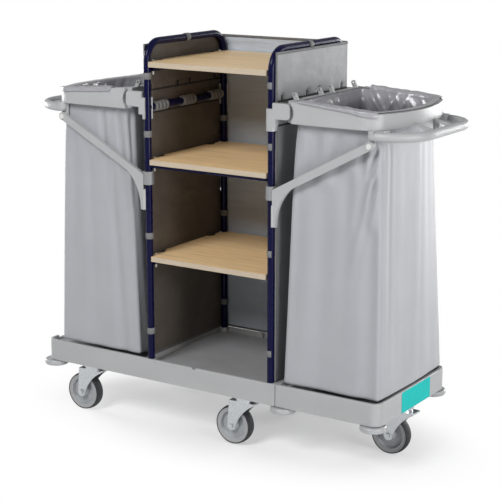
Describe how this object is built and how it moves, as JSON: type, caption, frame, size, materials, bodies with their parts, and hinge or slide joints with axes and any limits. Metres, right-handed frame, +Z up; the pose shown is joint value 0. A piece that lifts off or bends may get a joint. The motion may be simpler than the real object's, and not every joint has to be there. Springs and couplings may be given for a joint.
{
  "type": "maid trolley",
  "caption": "Housekeeping trolley: moulded base on swivel castors, open shelf tower with a fabric cover, and a fold-up sack holder with push handle at each end.",
  "frame": {"origin": "on the floor, midway between the four posts", "axes": "+X along the trolley towards the side tray, -Y the open front, +Z up"},
  "size_m": [1.4, 0.478, 1.25],
  "materials": {
    "navy_tube": "gloss",
    "grey_plastic": "satin",
    "white_plastic": "satin",
    "zinc_steel": "satin",
    "wheel_plastic": "satin",
    "tyre_rubber": "matt",
    "roller_rubber": "matt",
    "shelf_board": "satin",
    "cover_fabric": "woven",
    "strap_web": "woven",
    "sack_fabric": "coated",
    "liner_film": "translucent film"
  },
  "bodies": {
    "trolley": {"main_chassis": "grey_plastic", "side_tray": "grey_plastic", "chassis_bolts": "zinc_steel", "castor_heads": "zinc_steel", "frame_tube_left": "navy_tube", "frame_tube_right": "navy_tube", "cross_tubes": "navy_tube", "shelf_lower": "shelf_board", "shelf_middle": "shelf_board", "shelf_upper": "shelf_board", "shelf_pegs": "white_plastic", "cover": "cover_fabric", "cover_straps": "strap_web", "holder_brackets": "grey_plastic", "pivot_pins": "zinc_steel", "strut_collars": "grey_plastic", "rail_clips": "grey_plastic"},
    "holder_left": {"sack_frame_left": "grey_plastic", "lid_lugs_left": "grey_plastic", "push_handle_left": "grey_plastic", "sack_left": "sack_fabric", "liner_left": "liner_film", "strut_rivets_left": "white_plastic"},
    "strut_front_left": {"strut_front_left": "grey_plastic"},
    "strut_rear_left": {"strut_rear_left": "grey_plastic"},
    "holder_right": {"sack_frame_right": "grey_plastic", "lid_lugs_right": "grey_plastic", "push_handle_right": "grey_plastic", "sack_right": "sack_fabric", "liner_right": "liner_film", "strut_rivets_right": "white_plastic"},
    "strut_front_right": {"strut_front_right": "grey_plastic"},
    "strut_rear_right": {"strut_rear_right": "grey_plastic"},
    "castor_front_left": {"castor_fork_front_left": "zinc_steel", "castor_axle_front_left": "zinc_steel"},
    "wheel_front_left": {"castor_core_front_left": "wheel_plastic", "castor_tyre_front_left": "tyre_rubber"},
    "castor_rear_left": {"castor_fork_rear_left": "zinc_steel", "castor_axle_rear_left": "zinc_steel"},
    "wheel_rear_left": {"castor_core_rear_left": "wheel_plastic", "castor_tyre_rear_left": "tyre_rubber"},
    "castor_front_middle": {"castor_fork_front_middle": "zinc_steel", "castor_axle_front_middle": "zinc_steel"},
    "wheel_front_middle": {"castor_core_front_middle": "wheel_plastic", "castor_tyre_front_middle": "tyre_rubber"},
    "castor_rear_middle": {"castor_fork_rear_middle": "zinc_steel", "castor_axle_rear_middle": "zinc_steel"},
    "wheel_rear_middle": {"castor_core_rear_middle": "wheel_plastic", "castor_tyre_rear_middle": "tyre_rubber"},
    "castor_right": {"castor_fork_right": "zinc_steel", "castor_axle_right": "zinc_steel"},
    "wheel_right": {"castor_core_right": "wheel_plastic", "castor_tyre_right": "tyre_rubber"},
    "roller_front_left": {"roller_front_left": "roller_rubber"},
    "roller_rear_left": {"roller_rear_left": "roller_rubber"},
    "roller_front_middle": {"roller_front_middle": "roller_rubber"},
    "roller_rear_middle": {"roller_rear_middle": "roller_rubber"},
    "roller_front_right": {"roller_front_right": "roller_rubber"},
    "roller_rear_right": {"roller_rear_right": "roller_rubber"}
  },
  "joints": [
    {"name": "holder_left_fold", "type": "hinge", "parent": "trolley", "child": "holder_left", "pos_m": [-0.277, 0, 1.061], "axis": [0, 1, 0], "range_deg": [0, 75]},
    {"name": "strut_front_left_swing", "type": "hinge", "parent": "holder_left", "child": "strut_front_left", "pos_m": [-0.555, -0.217, 0.986], "axis": [0, 1, 0], "range_deg": [0, 60]},
    {"name": "strut_rear_left_swing", "type": "hinge", "parent": "holder_left", "child": "strut_rear_left", "pos_m": [-0.555, 0.217, 0.986], "axis": [0, 1, 0], "range_deg": [0, 60]},
    {"name": "holder_right_fold", "type": "hinge", "parent": "trolley", "child": "holder_right", "pos_m": [0.277, 0, 1.061], "axis": [0, -1, 0], "range_deg": [0, 75]},
    {"name": "strut_front_right_swing", "type": "hinge", "parent": "holder_right", "child": "strut_front_right", "pos_m": [0.555, -0.217, 0.986], "axis": [0, -1, 0], "range_deg": [0, 60]},
    {"name": "strut_rear_right_swing", "type": "hinge", "parent": "holder_right", "child": "strut_rear_right", "pos_m": [0.555, 0.217, 0.986], "axis": [0, -1, 0], "range_deg": [0, 60]},
    {"name": "castor_front_left_swivel", "type": "hinge", "parent": "trolley", "child": "castor_front_left", "pos_m": [-0.48, -0.188, 0.15], "axis": [0, 0, 1], "continuous": true},
    {"name": "wheel_front_left_spin", "type": "hinge", "parent": "castor_front_left", "child": "wheel_front_left", "pos_m": [-0.518, -0.188, 0.0625], "axis": [0, 1, 0], "continuous": true},
    {"name": "castor_rear_left_swivel", "type": "hinge", "parent": "trolley", "child": "castor_rear_left", "pos_m": [-0.48, 0.188, 0.15], "axis": [0, 0, 1], "continuous": true},
    {"name": "wheel_rear_left_spin", "type": "hinge", "parent": "castor_rear_left", "child": "wheel_rear_left", "pos_m": [-0.518, 0.188, 0.0625], "axis": [0, 1, 0], "continuous": true},
    {"name": "castor_front_middle_swivel", "type": "hinge", "parent": "trolley", "child": "castor_front_middle", "pos_m": [0.119, -0.188, 0.15], "axis": [0, 0, 1], "continuous": true},
    {"name": "wheel_front_middle_spin", "type": "hinge", "parent": "castor_front_middle", "child": "wheel_front_middle", "pos_m": [0.081, -0.188, 0.0625], "axis": [0, 1, 0], "continuous": true},
    {"name": "castor_rear_middle_swivel", "type": "hinge", "parent": "trolley", "child": "castor_rear_middle", "pos_m": [0.119, 0.188, 0.15], "axis": [0, 0, 1], "continuous": true},
    {"name": "wheel_rear_middle_spin", "type": "hinge", "parent": "castor_rear_middle", "child": "wheel_rear_middle", "pos_m": [0.081, 0.188, 0.0625], "axis": [0, 1, 0], "continuous": true},
    {"name": "castor_right_swivel", "type": "hinge", "parent": "trolley", "child": "castor_right", "pos_m": [0.57, 0, 0.15], "axis": [0, 0, 1], "continuous": true},
    {"name": "wheel_right_spin", "type": "hinge", "parent": "castor_right", "child": "wheel_right", "pos_m": [0.532, 0, 0.0625], "axis": [0, 1, 0], "continuous": true},
    {"name": "roller_front_left_spin", "type": "hinge", "parent": "trolley", "child": "roller_front_left", "pos_m": [-0.63, -0.199, 0.15], "axis": [0, 0, 1], "continuous": true},
    {"name": "roller_rear_left_spin", "type": "hinge", "parent": "trolley", "child": "roller_rear_left", "pos_m": [-0.63, 0.199, 0.15], "axis": [0, 0, 1], "continuous": true},
    {"name": "roller_front_middle_spin", "type": "hinge", "parent": "trolley", "child": "roller_front_middle", "pos_m": [0.264, -0.199, 0.15], "axis": [0, 0, 1], "continuous": true},
    {"name": "roller_rear_middle_spin", "type": "hinge", "parent": "trolley", "child": "roller_rear_middle", "pos_m": [0.264, 0.199, 0.15], "axis": [0, 0, 1], "continuous": true},
    {"name": "roller_front_right_spin", "type": "hinge", "parent": "trolley", "child": "roller_front_right", "pos_m": [0.573, -0.199, 0.15], "axis": [0, 0, 1], "continuous": true},
    {"name": "roller_rear_right_spin", "type": "hinge", "parent": "trolley", "child": "roller_rear_right", "pos_m": [0.573, 0.199, 0.15], "axis": [0, 0, 1], "continuous": true}
  ]
}
